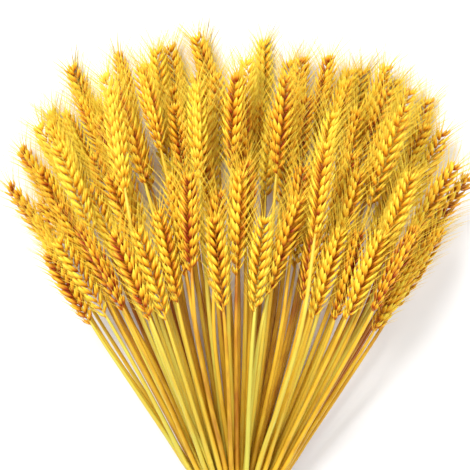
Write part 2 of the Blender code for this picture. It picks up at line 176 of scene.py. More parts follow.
# %% One stalk
class Stalk:
    """One straw and its ear, by the place of the straw in the neck and of the ear in the head."""

    def __init__(self, row, place, draw):
        aside = 0.25 if row % 2 else -0.25
        middle = (len(ROWS) - 1) / 2
        self.row = row
        self.neck_x = (place - (ROWS[row] - 1) / 2 + aside) * STRAW_PITCH
        self.neck_z = NECK_HEIGHT + (row - middle) * ROW_RISE
        self.across = self.neck_x / ROW_HALF_WIDTH
        self.up = (row - middle) / middle
        lowest = -1.0 + EDGE_SINKS_BY * max(0.0, abs(self.across) - EDGE_SINKS_FROM)
        self.head_z = SCALE_FACE + (self.up - lowest) * HEAD_HEIGHT / 2
        self.aside = draw.uniform(-SIDEWAYS_UNEVEN, SIDEWAYS_UNEVEN)
        self.above = draw.uniform(-HEIGHT_UNEVEN, HEIGHT_UNEVEN)
        self.sway = draw.uniform(-LEAN_UNEVEN, LEAN_UNEVEN)
        self.lift = 0.0
        self.reach = (
            REACH
            - TOP_ROW_SHORTER * ((self.up + 1) / 2) ** ROW_POWER
            - SIDES_SHORTER * abs(self.across) ** SIDE_POWER
            + draw.uniform(-REACH_UNEVEN, REACH_UNEVEN)
        )
        length = EAR_LENGTH + draw.uniform(-EAR_UNEVEN, EAR_UNEVEN)
        self.ear_base = self.reach - along_bunch(length, self.across, self.reach)
        self.roll = draw.uniform(-ROLL_MOST, ROLL_MOST)
        self.tail = TAIL_LENGTH + draw.uniform(-TAIL_UNEVEN, TAIL_UNEVEN)
        # The solids' awns take these draws, and without them the next stalk would differ from its solid.
        for _ in range(AWN_DRAWS):
            draw.uniform(-1.0, 1.0)
        self.gives = 1.0

    def place_in_fan(self, y):
        """Where the middle would be by the rule alone, before the stalk's own offsets."""
        run = max(0.0, y - NECK_HALF_LENGTH)
        x = self.neck_x + self.across * (FAN_SLOPE * run + FAN_BEND * run**3)
        z = self.neck_z + (self.head_z - self.neck_z) * float(opened(y))
        return x, z

    def set_ear(self, tip_x, tip_y, base_x, base_y):
        """Leads the ear to a stated tip and base."""
        self.reach, self.ear_base = tip_y, base_y
        at_tip = tip_x - self.place_in_fan(tip_y)[0]
        at_base = base_x - self.place_in_fan(base_y)[0]
        self.sway = (at_tip - at_base) / float(leaned(tip_y) - leaned(base_y))
        self.aside = at_base - self.sway * float(leaned(base_y))
        self.gives = SET_EAR_GIVES

    def stations(self):
        """Where the straw's solid has its rings, from the front of the tie to under the ear."""
        under_ear = self.ear_base - EAR_NECK
        between = [y for y in STRAW_STATIONS if y < under_ear - EAR_NECK]
        return (NECK_HALF_LENGTH, WIDEST_AT, *between, under_ear)

    def course(self, y):
        """The fan's place and the two weights of the stalk's own offsets."""
        for before, after in zip(self.stations(), self.stations()[1:]):
            if before <= y < after:
                share = (y - before) / (after - before)
                return self.bent(before) * (1 - share) + self.bent(after) * share
        return self.bent(y)

    def bent(self, y):
        """The same, with the fan's own bend."""
        return np.array([*self.place_in_fan(y), float(opened(y)), float(leaned(y))])

    def centre(self, y):
        """The middle of the straw or ear at this distance from the tie."""
        if y < -NECK_HALF_LENGTH:
            spread = float(smooth((-y - NECK_HALF_LENGTH) / (TAIL_LENGTH - NECK_HALF_LENGTH)))
            x = self.neck_x * (1 + (TAIL_SPREAD - 1) * spread)
            rise = (self.neck_z - NECK_HEIGHT) * (1 + (TAIL_RISE - 1) * spread)
            return Vector((x, y, NECK_HEIGHT + rise))
        x, z, here, late = self.course(y)
        return Vector((x + self.aside * here + self.sway * late, y, z + self.above * here + self.lift * late))

    def slope(self, y):
        """How steeply the stalk runs sideways there."""
        step = 0.002
        return (self.centre(y + step).x - self.centre(y - step).x) / (2 * step)

    def straw_radius(self, y):
        """The straw's radius at this distance from the tie."""
        if y < WIDEST_AT:
            grown = float(smooth((y - NECK_HALF_LENGTH) / (WIDEST_AT - NECK_HALF_LENGTH)))
            return STRAW_NECK + (STRAW_WIDEST - STRAW_NECK) * grown
        share = (y - WIDEST_AT) / (self.ear_base - WIDEST_AT)
        return STRAW_WIDEST + (STRAW_TOP - STRAW_WIDEST) * min(1.0, share)

    def room(self, y):
        """The radius that this stalk takes up at this distance from the tie, or none past its tip."""
        if y > self.reach + TIP_LENGTH:
            return 0.0
        if y < self.ear_base - EAR_NECK:
            return self.straw_radius(y)
        share = min(1.0, max(0.0, (y - self.ear_base) / (self.reach - self.ear_base)))
        return SCALE_SIDE * max(fullness(share), fullness(max(0.0, share - SCALE_FORWARD / EAR_RINGS)))


# %% [markdown]
# Real stalks make room for each other. Here each pair that comes too near is pushed apart a little, at
# stations along the bunch, over and over, until every ear and straw has its own space. Only pairs that are
# near each other somewhere take part, which saves time.

# %% Make room for every stalk
CLEARANCE = 0.0008
NUDGE_ROUNDS = 600
NUDGE_FROM, NUDGE_STEP = 0.034, 0.007
NUDGE_STIFFNESS, NUDGE_REACHES, NUDGE_STRENGTH = 0.05, 0.040, 1.6
EDGE_ALLOWS, SINKS_TO = 0.009, 0.9
SIDEWAYS_GIVES, SET_EAR_GIVES = 0.7, 0.25


def place_set_ears(stalks):
    """Gives each stated ear to the stalk of its row that passes nearest to its base."""
    free = list(stalks)
    for row, *places in SET_EARS:
        tip_x, tip_y, base_x, base_y = [place / 1000 for place in places]
        near = min(
            (stalk for stalk in free if stalk.row == row),
            key=lambda stalk: abs(stalk.place_in_fan(base_y)[0] - base_x),
        )
        near.set_ear(tip_x, tip_y, base_x, base_y)
        free.remove(near)


def loosen(stalks):
    """Moves the stalks sideways and up, away from those too near. Returns the most still lacking."""
    stations = np.arange(NUDGE_FROM, REACH + 2 * REACH_UNEVEN, NUDGE_STEP)
    rooms = np.array([[stalk.room(y) for stalk in stalks] for y in stations])
    slants = np.array([[math.hypot(1.0, stalk.slope(y)) for stalk in stalks] for y in stations])
    courses = np.array([[stalk.course(y) for stalk in stalks] for y in stations])
    places, modes = courses[..., :2], courses[..., 2:]
    pull = modes / ((modes**2).sum(axis=2, keepdims=True) + NUDGE_STIFFNESS)
    edges = fan_edge(stations - NECK_HALF_LENGTH) + EDGE_ALLOWS
    offsets = np.array([[(stalk.aside, stalk.above), (stalk.sway, stalk.lift)] for stalk in stalks])
    gives = np.array([(stalk.gives * SIDEWAYS_GIVES, 1.0) for stalk in stalks])
    lowest = np.array([SINKS_TO * SCALE_FACE - stalk.head_z for stalk in stalks])
    one, other = np.triu_indices(len(stalks), 1)
    near = np.linalg.norm(places[:, one] - places[:, other], axis=2).min(axis=0) < NUDGE_REACHES
    one, other = one[near], other[near]
    need = (rooms[:, one] + rooms[:, other] + CLEARANCE) * (rooms[:, one] * rooms[:, other] > 0)
    wide = np.sqrt(slants[:, one] * slants[:, other])
    for _ in range(NUDGE_ROUNDS):
        middles = places + np.einsum("sim,imc->sic", modes, offsets)
        apart = middles[:, one] - middles[:, other]
        distance = np.maximum(np.hypot(apart[..., 0] / wide, apart[..., 1]), 1e-6)
        lack = np.maximum(0.0, need - distance)
        station, pair = np.nonzero(lack)
        shares = apart[station, pair] * (lack / distance)[station, pair, None] / 2
        pushes = np.zeros_like(middles)
        np.add.at(pushes, (station, one[pair]), shares)
        np.subtract.at(pushes, (station, other[pair]), shares)
        busy = np.zeros(rooms.shape)
        busy[station, one[pair]] = 1
        busy[station, other[pair]] = 1
        past_edge = np.maximum(0.0, np.abs(middles[..., 0]) - edges[:, None]) * (rooms > 0)
        pushes[..., 0] -= np.sign(middles[..., 0]) * past_edge
        change = np.einsum("sim,sic->imc", pull, pushes) / np.maximum(1, busy.sum(axis=0))[:, None, None]
        offsets += NUDGE_STRENGTH * change * gives[:, None]
        offsets[:, 0, 1] = np.maximum(offsets[:, 0, 1], lowest)
        offsets[:, 1, 1] = np.maximum(offsets[:, 1, 1], lowest - offsets[:, 0, 1])
    for stalk, ((aside, above), (sway, lift)) in zip(stalks, offsets):
        stalk.aside, stalk.above, stalk.sway, stalk.lift = map(float, (aside, above, sway, lift))
    return float(lack.max())


draw = random.Random(SEED)
stalks = [Stalk(row, place, draw) for row, count in enumerate(ROWS) for place in range(count)]
place_set_ears(stalks)
print("closest two come too near by", round(loosen(stalks) * 1000, 2), "mm")

# %% [markdown]
# The real bunch holds more ears than the solids can carry, and they cover the straws down to where the fan
# narrows. Shorter stalks lie on the others and fill what is still bare from above. In the tie each rests in
# or beside a hollow of the rounded pile of straws, and most of them press into the soft twine, by up to
# 1.8 mm.

# %% Shorter stalks on top of the others
SHORT_BASES = np.arange(0.172, 0.262, 0.006)
SHORT_ASIDES = (-0.014, -0.007, 0.0, 0.007, 0.014)
SHORT_HIGHEST = 0.119
SHORT_WIDEST = 0.150
STRAW_FILLS = 0.90
TWINE_GIVES = 1.12
LIES_FROM, LIES_STEP, LIES_GAP = 0.060, 0.006, 0.0002
COVER_CELL, COVER_HALF = 0.003, 0.0062
HEAD_STARTS, HEAD_ENDS = 0.176, 0.300
LEAST_GAIN = 12


def places_on_top(stalks):
    """Where a straw can lie on the others in the tie, at even steps sideways."""
    radius = STRAW_NECK * STRAW_FILLS
    apart = 2 * radius + LIES_GAP
    places = []
    for step in range(-max(ROWS) // 2, max(ROWS) // 2 + 1):
        x = step * STRAW_PITCH
        under = [stalk for stalk in stalks if abs(stalk.neck_x - x) < apart]
        z = max(stalk.neck_z + math.sqrt(apart**2 - (stalk.neck_x - x) ** 2) for stalk in under)
        to_side, to_top = x / (NECK_WIDE - radius), (z - NECK_HEIGHT) / (NECK_HIGH - radius)
        if math.hypot(to_side, to_top) < TWINE_GIVES:
            places.append((x, z))
    return places


def short_stalk(site, base, aside):
    """A stalk whose straw has this site in the tie, with its ear from this base on."""
    stalk = Stalk(len(ROWS) - 1, 0, random.Random(round(site[0] / STRAW_PITCH) + len(ROWS)))
    stalk.neck_x, stalk.neck_z = site
    stalk.across = stalk.neck_x / ROW_HALF_WIDTH
    stalk.aside, stalk.above, stalk.sway = aside, 0.0, 0.0
    stalk.ear_base = base
    stalk.reach = base + along_bunch(EAR_LENGTH, stalk.across, base)
    return stalk


def cells_under(cells, stalk):
    """Which cells lie under the ear of a stalk, seen from above."""
    start, end = (np.array(stalk.centre(y))[:2] for y in (stalk.ear_base, stalk.reach))
    run = end - start
    share = np.clip((cells - start) @ run / (run @ run), 0.0, 1.0)
    return np.linalg.norm(cells - start - share[:, None] * run, axis=1) < COVER_HALF


def head_cells():
    """Places all over the lower part of the head."""
    across = np.arange(-fan_edge(HEAD_ENDS), fan_edge(HEAD_ENDS), COVER_CELL)
    cells = np.array([(x, y) for y in np.arange(HEAD_STARTS, HEAD_ENDS, COVER_CELL) for x in across])
    return cells[np.abs(cells[:, 0]) < fan_edge(cells[:, 1] - NECK_HALF_LENGTH)]


print("places to cover in the lower head:", len(head_cells()))

# %% [markdown]
# The search takes the ear place that covers the most bare places, lifts that stalk until its ear and straw
# lie on all the others, and goes on until little more is gained. Pushing the new stalks in among the others
# would move every stalk away from its solid, so they only ever lie on top.

# %% Fill the bare places
LIES_AT = np.arange(LIES_FROM, HEAD_ENDS + EAR_LENGTH, LIES_STEP)


def taken(stalk):
    """What a stalk takes up at each station: its place sideways and up, and its radius there."""
    fills = [STRAW_FILLS if y < stalk.ear_base - EAR_NECK else 1.0 for y in LIES_AT]
    return [(*stalk.centre(y).xz, stalk.room(y) * share) for y, share in zip(LIES_AT, fills)]


def height_on(others, stalk):
    """How high the ear of a stalk has to be for it to lie on all the others."""
    own = np.array(taken(stalk))
    reach = (own[:, None, 2] + others[..., 2] + LIES_GAP) * (own[:, None, 2] * others[..., 2] > 0)
    aside = np.abs(own[:, None, 0] - others[..., 0])
    over = np.where(aside < reach, others[..., 1] + np.sqrt(np.maximum(reach**2 - aside**2, 0.0)), 0.0)
    share = opened(LIES_AT)
    return float(((over.max(axis=1) - stalk.neck_z * (1 - share)) / share).max())


def fill_bare_places(stalks):
    """The shorter stalks, each at the free site, reach and lean that covers most of what is bare."""
    cells = head_cells()
    bare = np.ones(len(cells), dtype=bool)
    for stalk in stalks:
        bare &= ~cells_under(cells, stalk)
    options = [
        (site, short_stalk(site, float(base), aside))
        for site in places_on_top(stalks) for base in SHORT_BASES for aside in SHORT_ASIDES
    ]
    options = [option for option in options if abs(option[1].centre(option[1].reach).x) < SHORT_WIDEST]
    under = np.array([cells_under(cells, stalk) for _, stalk in options])
    others = np.array([taken(stalk) for stalk in stalks]).transpose(1, 0, 2)
    chosen = []
    open_options = np.ones(len(options), dtype=bool)
    while open_options.any():
        gains = np.where(open_options, (under & bare).sum(axis=1), -1)
        best = int(gains.argmax())
        if gains[best] < LEAST_GAIN:
            break
        site, stalk = options[best]
        stalk.head_z = height_on(others, stalk)
        open_options[best] = False
        if stalk.head_z > SHORT_HIGHEST:
            continue
        open_options &= [option[0] != site for option in options]
        bare &= ~under[best]
        others = np.concatenate((others, np.array(taken(stalk))[:, None]), axis=1)
        chosen.append(stalk)
    return chosen, int(bare.sum()), len(cells)


short_stalks, bare, cells = fill_bare_places(stalks)
print("shorter stalks:", len(short_stalks), "bare places left:", bare, "of", cells)

# %% [markdown]
# A dried straw bends smoothly, so each stalk gets one curve through the corners of its solid, straight where
# the tie holds it. Every visible thing on a stalk, from its cut end to its awns, is placed along that curve.


# %% The smooth line of a stalk
EAR_KNOTS = (0.25, 0.5, 0.75, 1.0, 1.3)
SLOPE_STEP = 0.001


class Course:
    """A stalk's middle line, from the cut end to past the ear's tip, by the distance from the tie."""

    def __init__(self, stalk):
        ear = stalk.reach - stalk.ear_base
        knots = [-stalk.tail, -NECK_HALF_LENGTH, *stalk.stations()]
        knots += [stalk.ear_base + ear * share for share in EAR_KNOTS]
        points = np.array([stalk.centre(y) for y in knots])
        self.y = np.array(knots)
        self.xz = points[:, (0, 2)]
        steps = np.diff(self.y)[:, None]
        slopes = np.diff(self.xz, axis=0) / steps
        between = (slopes[:-1] * steps[1:] + slopes[1:] * steps[:-1]) / (steps[:-1] + steps[1:])
        self.slopes = np.vstack((slopes[:1], between, slopes[-1:]))
        self.slopes[1:3] = 0.0

    def at(self, y):
        """The points of the line at these distances from the tie."""
        y = np.atleast_1d(np.asarray(y, dtype=float))
        k = np.clip(np.searchsorted(self.y, y, side="right") - 1, 0, len(self.y) - 2)
        step = (self.y[k + 1] - self.y[k])[:, None]
        s = (y[:, None] - self.y[k][:, None]) / step
        xz = (2 * s**3 - 3 * s**2 + 1) * self.xz[k] + (s**3 - 2 * s**2 + s) * step * self.slopes[k]
        xz += (3 * s**2 - 2 * s**3) * self.xz[k + 1] + (s**3 - s**2) * step * self.slopes[k + 1]
        return np.column_stack((xz[:, 0], y, xz[:, 1]))

    def frames(self, y):
        """The points, with the forward, leftward and upward directions there."""
        forward = unit(self.at(np.asarray(y) + SLOPE_STEP) - self.at(np.asarray(y) - SLOPE_STEP))
        left = unit(np.cross((0.0, 0.0, 1.0), forward))
        return self.at(y), forward, left, np.cross(forward, left)


def unit(vectors):
    """Vectors of length 1 that point the same ways."""
    vectors = np.asarray(vectors, dtype=float)
    return vectors / np.maximum(np.linalg.norm(vectors, axis=-1, keepdims=True), 1e-12)


courses = [Course(stalk) for stalk in stalks]
short_courses = [Course(stalk) for stalk in short_stalks]
print("smooth lines:", len(courses), "with", len(courses[0].y), "knots in the first")

# %% [markdown]
# Straws, husks, awns and twine are all tapering tubes with closed ends, so one helper makes them. It notes
# two things on each point for the materials: where the point is round and along its tube, which the fibres
# follow, and the tone of its stalk, how far along it is and a random number of its own.


# %% A helper that gathers tapering tubes into one mesh
GRAIN_UNITS = 100


def ring_section(sides, keel=0.0):
    """Points round a tube's section, with the outer side drawn out to a keel if asked."""
    angles = np.arange(sides) * math.tau / sides
    section = np.column_stack((np.cos(angles), np.sin(angles)))
    outer = section[:, 1] > 0
    section[outer, 1] *= 1.0 + keel * section[outer, 1] ** 4
    section[~outer, 1] *= 1.0 - keel
    return section


class Growth:
    """The points and faces of one piece while it grows."""

    def __init__(self):
        self.points, self.faces, self.paints = [], [], []
        self.tones, self.grains = [], []
        self.count = 0

    def tube(self, line, across, out, halves, section, paint, tone, chance=0.5):
        """Adds a tube along the line, whose first and last points close it.

        halves are its radii, or its half widths and half thicknesses where it isn't round. paint is the
        number of its material, or one number for each step along the line.
        """
        line, halves = np.asarray(line), np.asarray(halves)
        if halves.ndim == 1:
            halves = np.column_stack((halves, halves))
        across = np.broadcast_to(across, line.shape)
        out = np.broadcast_to(out, line.shape)
        sides, rings = len(section), len(line) - 2
        inner = slice(1, -1)
        wide = (halves[inner, 0, None] * section[:, 0])[..., None] * across[inner, None]
        thick = (halves[inner, 1, None] * section[:, 1])[..., None] * out[inner, None]
        skin = (line[inner, None] + wide + thick).reshape(-1, 3)
        self.points.append(np.vstack((line[:1], skin, line[-1:])))
        self.faces += tube_faces(self.count, sides, rings)
        self.paints.append(np.tile(np.broadcast_to(paint, rings + 1), sides))
        lengths = np.concatenate(((0.0,), np.cumsum(np.linalg.norm(np.diff(line, axis=0), axis=1))))
        spread = np.concatenate(((0,), np.repeat(np.arange(1, rings + 1), sides), (rings + 1,)))
        shares = lengths[spread] / lengths[-1]
        turned = np.vstack(((0.0, 0.0), np.tile(section, (rings, 1)), (0.0, 0.0)))
        self.grains.append(np.column_stack((turned, lengths[spread] * GRAIN_UNITS)))
        same = np.ones(len(spread))
        self.tones.append(np.column_stack((same * tone, shares, same * chance, same)))
        self.count += len(spread)

    def grown(self, name, materials):
        """The finished object."""
        points = np.vstack(self.points)
        points[:, 2] = np.maximum(points[:, 2], 0.0)
        mesh = bpy.data.meshes.new(name)
        mesh.from_pydata(points, [], self.faces)
        for material in materials:
            mesh.materials.append(material)
        mesh.polygons.foreach_set("material_index", np.concatenate(self.paints).astype(np.int32))
        mesh.polygons.foreach_set("use_smooth", np.ones(len(self.faces), dtype=bool))
        tones = mesh.attributes.new("tone", "FLOAT_COLOR", "POINT")
        tones.data.foreach_set("color", np.vstack(self.tones).astype(np.float32).ravel())
        grains = mesh.attributes.new("grain", "FLOAT_VECTOR", "POINT")
        grains.data.foreach_set("vector", np.vstack(self.grains).astype(np.float32).ravel())
        made = bpy.data.objects.new(name, mesh)
        bpy.context.scene.collection.objects.link(made)
        return made


def tube_faces(start, sides, rings):
    """The faces of a tube of so many rings whose points start at this number."""
    first, last = start, start + 1 + sides * rings
    faces = []
    for side in range(sides):
        beside = (side + 1) % sides
        faces.append((first, start + 1 + beside, start + 1 + side))
        for ring in range(rings - 1):
            low = start + 1 + ring * sides
            faces.append((low + side, low + beside, low + sides + beside, low + sides + side))
        low = last - sides
        faces.append((low + side, low + beside, last))
    return faces


HUSK, STRAW, AWN, PITH = range(4)
ROUND = {sides: ring_section(sides) for sides in (3, 5, 6, 8)}
print("a tube of 6 sides and 5 rings has", len(tube_faces(0, 6, 5)), "faces")

# %% [markdown]
# A dried straw is a hollow tube. It is thin in the neck, thickest a little way up and thin again under the
# ear, with a slight swelling where a leaf once sat. Its cut end shows the pale inside.

# %% Straws
STRAW_ROUND = 8
STRAW_RINGS = 26
JOINT_SWELLS, JOINT_LENGTH = 0.16, 0.0022
JOINT_RINGS = np.array((-1.0, -0.5, 0.0, 0.5, 1.0))
JOINT_FROM, JOINT_TO = 0.018, 0.066
HOLLOW, HOLLOW_DEPTH = 0.62, 0.008
CUT_SLANTS = 0.35
IN_EAR_THINS = 0.5


def grow_straw(growth, stalk, course, draw):
    """The hollow straw of one stalk, from its cut end to inside the base of its ear."""
    end = stalk.ear_base + EAR_NECK
    joint = draw.uniform(JOINT_FROM, JOINT_TO)
    slant = draw.uniform(-CUT_SLANTS, CUT_SLANTS)
    y = np.concatenate((
        np.linspace(-stalk.tail, end, STRAW_RINGS),
        joint + JOINT_LENGTH * JOINT_RINGS,
    ))
    y.sort()
    swells = 1.0 + JOINT_SWELLS * np.exp(-(((y - joint) / (JOINT_LENGTH / 2)) ** 2))
    radii = np.array([max(stalk.straw_radius(distance), STRAW_TOP) for distance in y]) * swells * STRAW_FILLS
    radii[-1] *= IN_EAR_THINS
    inside = -stalk.tail + HOLLOW_DEPTH
    y = np.concatenate(((inside, inside, -stalk.tail), y, (end,)))
    hollow = radii[0] * HOLLOW
    radii = np.concatenate(((0.0, hollow, hollow), radii, (0.0,)))
    line, forward, left, upward = course.frames(y)
    upward[2:4] += slant * forward[2:4]
    paint = np.full(len(line) - 1, STRAW)
    paint[:3] = PITH
    growth.tube(
        line, left, upward, radii, ROUND[STRAW_ROUND], paint, stalk.straw_tone, chance=stalk.chance
    )


# %% [markdown]
# An ear is a zigzag stem with a small spike of husks at each of its bends, left and right in turn. Each
# spike has two outer husks and three grains in their own husks behind them, which fan out and overlap the
# next spikes in a braid. A husk is a pointed shell with a keel, and its tip leans outwards.

# %% Ears
NODES = 20
SPIKES_SHORTEN = 0.72
HUSK_SECTION = ring_section(6, keel=0.35)
HUSK_SHARES = np.array((0.0, 0.06, 0.34, 0.66, 0.90, 1.0))
HUSK_WIDTHS = np.array((0.0, 0.55, 1.00, 0.88, 0.36, 0.0))
HUSK_BELLY, HUSK_FLICK = 0.10, 0.07
# Each husk of a spike, in millimetres along the ear, outwards from its stem and across it: where it starts,
# where it ends, then its half width and half thickness. Each bears an awn.
SPIKE_HUSKS = (
    ((-0.6, 0.5, 1.3), (8.8, 4.2, 5.0), (1.8, 0.9)),
    ((-0.6, 0.5, -1.3), (8.8, 4.2, -5.0), (1.8, 0.9)),
    ((0.8, 1.2, 0.9), (11.6, 6.8, 3.4), (1.7, 1.3)),
    ((0.8, 1.2, -0.9), (11.6, 6.8, -3.4), (1.7, 1.3)),
    ((1.8, 1.0, 0.0), (12.8, 5.4, 0.0), (1.6, 1.3)),
)
END_HUSKS = (
    ((-1.0, 0.0, 0.6), (8.0, 0.8, 3.0), (1.8, 0.9)),
    ((-1.0, 0.0, -0.6), (8.0, -0.8, -3.0), (1.8, 0.9)),
    ((0.0, 0.6, 0.0), (9.5, 2.2, 0.4), (1.6, 1.1)),
    ((0.0, -0.6, 0.0), (9.5, -2.2, -0.4), (1.6, 1.1)),
)
HUSK_UNEVEN = 0.0006
AWN_LOW, AWN_HIGH = 0.010, 0.024
AWN_SPREADS, AWN_BOWS = 0.17, 0.10
AWN_RADIUS, AWN_UNEVEN = 0.00021, (0.7, 1.15)
AWN_POWER, AWN_LEANS = 1.5, 0.5
AWN_SHARES = np.array((-0.06, 0.0, 0.35, 0.7, 1.0))
AWN_TAPER = np.array((0.0, 1.0, 0.75, 0.45, 0.0))
END_SPIKE_LENGTH = 0.011
HUSK_FULLNESS, END_FULLNESS = 0.9, 0.85
STEM_RADIUS, STEM_BENDS = 0.0009, 0.0006
MILLIMETRE = 0.001


def grow_husk(growth, start, end, out, halves, tone, chance):
    """One husk between two points, with its keel on the outside. Returns the direction of its tip."""
    length = np.linalg.norm(end - start)
    forward = (end - start) / length
    out = unit(out - forward * np.dot(out, forward))
    bow = HUSK_BELLY * np.sin(math.pi * HUSK_SHARES) + HUSK_FLICK * HUSK_SHARES**4
    line = start + (end - start) * HUSK_SHARES[:, None] + out * (bow * length)[:, None]
    across = np.cross(out, forward)
    growth.tube(line, across, out, HUSK_WIDTHS[:, None] * halves, HUSK_SECTION, HUSK, tone, chance=chance)
    return line[-1], unit(line[-1] - line[-3])


def grow_awn(growth, start, forward, out, length, tone, chance):
    """One bristle from the tip of a husk, bowing outwards."""
    aim = unit(forward + out * AWN_SPREADS)
    bow = out * (AWN_BOWS * AWN_SHARES**2)[:, None]
    line = start + (aim * AWN_SHARES[:, None] + bow) * length
    across = unit(np.cross(out, aim))
    radii = AWN_RADIUS * AWN_TAPER
    growth.tube(line, across, np.cross(aim, across), radii, ROUND[3], AWN, tone, chance=chance)


print("rings to a husk:", len(HUSK_SHARES) - 2, "and to an awn:", len(AWN_SHARES) - 2)

# %% [markdown]
# The spikes sit left and right in turn on the ear's thin stem, each a little larger towards the middle of
# the ear. One more spike closes the tip. The whole ear is turned about its stem by an angle of its own, so
# that some show their braid and others their flank.

# %% Spikes and the ear
def grow_spike(growth, stalk, course, y, side, size, husks, draw, share):
    """The husks and awns of one bend of the ear's stem."""
    middle, forward, left, upward = (rows[0] for rows in course.frames(y))
    flank = -left * math.cos(stalk.roll) + upward * math.sin(stalk.roll)
    face = upward * math.cos(stalk.roll) + left * math.sin(stalk.roll)
    axes = np.array((forward, flank * side, face))
    for start, end, halves in husks:
        uneven = [draw.uniform(-HUSK_UNEVEN, HUSK_UNEVEN) for _ in range(3)]
        start = middle + (np.array(start) * MILLIMETRE * size) @ axes
        end = middle + (np.array(end) * MILLIMETRE * size + uneven) @ axes
        out = (start + end) / 2 - middle
        out = out - forward * np.dot(out, forward)
        chance = draw.random()
        halves = np.array(halves) * MILLIMETRE * size
        tip, aim = grow_husk(growth, start, end, out, halves, stalk.tone, chance)
        length = (AWN_LOW + (AWN_HIGH - AWN_LOW) * share**AWN_POWER) * draw.uniform(*AWN_UNEVEN)
        side_lean = unit(unit(out) + left * draw.uniform(-AWN_LEANS, AWN_LEANS))
        grow_awn(growth, tip, aim, side_lean, length, stalk.tone, chance)


def grow_ear(growth, stalk, course, draw):
    """The zigzag stem of an ear and all its spikes."""
    length = stalk.reach - stalk.ear_base
    slope = length / np.linalg.norm(course.at(stalk.reach) - course.at(stalk.ear_base))
    last = stalk.reach - SPIKES_SHORTEN * END_SPIKE_LENGTH * slope
    stops = np.linspace(stalk.ear_base, last, NODES)
    for node, y in enumerate(stops):
        share = node / (NODES - 1)
        size = fullness(share * HUSK_FULLNESS)
        grow_spike(growth, stalk, course, y, 1 if node % 2 else -1, size, SPIKE_HUSKS, draw, share)
    grow_spike(growth, stalk, course, last, 1, fullness(END_FULLNESS), END_HUSKS, draw, 1.0)
    line, _, left, upward = course.frames(np.concatenate(((stalk.ear_base - EAR_NECK,), stops)))
    flank = -left * math.cos(stalk.roll) + upward * math.sin(stalk.roll)
    bends = np.where(np.arange(len(line)) % 2, -1.0, 1.0)[:, None] * STEM_BENDS
    radii = np.linspace(STEM_RADIUS, STEM_RADIUS * 0.5, len(line))
    growth.tube(
        line + flank * bends, left, upward, radii, ROUND[5], STRAW, stalk.tone, chance=stalk.chance
    )


print("husks to an ear:", NODES * len(SPIKE_HUSKS) + len(END_HUSKS))

# %% [markdown]
# Colours are mixed from three named ones, from the shaded base to the lit tip. That is one shader group,
# which husks, straws and twine share. A second group turns the place round and along a tube into fine
# streaks, since everything here is plant fibre.

# %% Helpers for shader nodes
def new_group(name, inputs, outputs):
    """An empty shader group with these sockets, and its input and output nodes."""
    group = bpy.data.node_groups.new(name, "ShaderNodeTree")
    for socket, kind, value in inputs:
        made = group.interface.new_socket(socket, in_out="INPUT", socket_type=kind)
        if value is not None:
            made.default_value = value
    for socket, kind in outputs:
        group.interface.new_socket(socket, in_out="OUTPUT", socket_type=kind)
    return group, group.nodes.new("NodeGroupInput").outputs, group.nodes.new("NodeGroupOutput").inputs


def feed(tree, socket, value):
    """Links a socket to a value, or sets it to a number or colour."""
    if isinstance(value, bpy.types.NodeSocket):
        tree.links.new(value, socket)
    else:
        socket.default_value = value


def maths(tree, kind, *values):
    """A Math node, fed by sockets or numbers. Returns its output."""
    node = tree.nodes.new("ShaderNodeMath")
    node.operation = kind
    for socket, value in zip(node.inputs, values):
        feed(tree, socket, value)
    return node.outputs[0]


def mixed(tree, share, one, other, blend="MIX"):
    """A colour between two. Returns its output."""
    node = tree.nodes.new("ShaderNodeMix")
    node.data_type, node.blend_type = "RGBA", blend
    feed(tree, node.inputs[0], share)
    feed(tree, node.inputs[6], one)
    feed(tree, node.inputs[7], other)
    return node.outputs[2]


def spread(tree, value, low, high, to_low=0.0, to_high=1.0):
    """A value stretched from one range to another and held inside it. Returns its output."""
    node = tree.nodes.new("ShaderNodeMapRange")
    for socket, number in zip(node.inputs[:5], (value, low, high, to_low, to_high)):
        feed(tree, socket, number)
    return node.outputs[0]


def noise(tree, vector, scale, detail=3.0, moment=0.0):
    """Four-dimensional noise. Returns its value."""
    node = tree.nodes.new("ShaderNodeTexNoise")
    node.noise_dimensions = "4D"
    for socket, value in (("Vector", vector), ("Scale", scale), ("Detail", detail), ("W", moment)):
        feed(tree, node.inputs[socket], value)
    return node.outputs["Fac"]


# %% [markdown]
# The first group takes three colours and a share, with a random number that makes each tube a little
# different. The second gives streaks and broad patches as values, which each material weighs in its own way.

# %% Shader groups
STREAKS_FROM, STREAKS_TO = 0.32, 0.68
PATCHES_FROM, PATCHES_TO = 0.35, 0.65
PATCH_SCALE = 0.55
RANDOM_MOMENTS = 50.0


def colour_group():
    """From deep to light by a share, each tube and place a little different."""
    group, given, made = new_group(
        "three_tones",
        (
            ("Deep", "NodeSocketColor", (0.3, 0.1, 0.02, 1.0)),
            ("Middle", "NodeSocketColor", (0.8, 0.4, 0.02, 1.0)),
            ("Light", "NodeSocketColor", (0.9, 0.7, 0.05, 1.0)),
            ("Share", "NodeSocketFloat", 0.5),
            ("Uneven", "NodeSocketFloat", 0.5),
            ("Random", "NodeSocketFloat", 0.5),
        ),
        (("Color", "NodeSocketColor"),),
    )
    wander = maths(group, "MULTIPLY", maths(group, "SUBTRACT", given["Random"], 0.5), given["Uneven"])
    share = maths(group, "ADD", given["Share"], wander)
    low = mixed(group, spread(group, share, 0.0, 0.5), given["Deep"], given["Middle"])
    group.links.new(mixed(group, spread(group, share, 0.5, 1.0), low, given["Light"]), made["Color"])
    return group


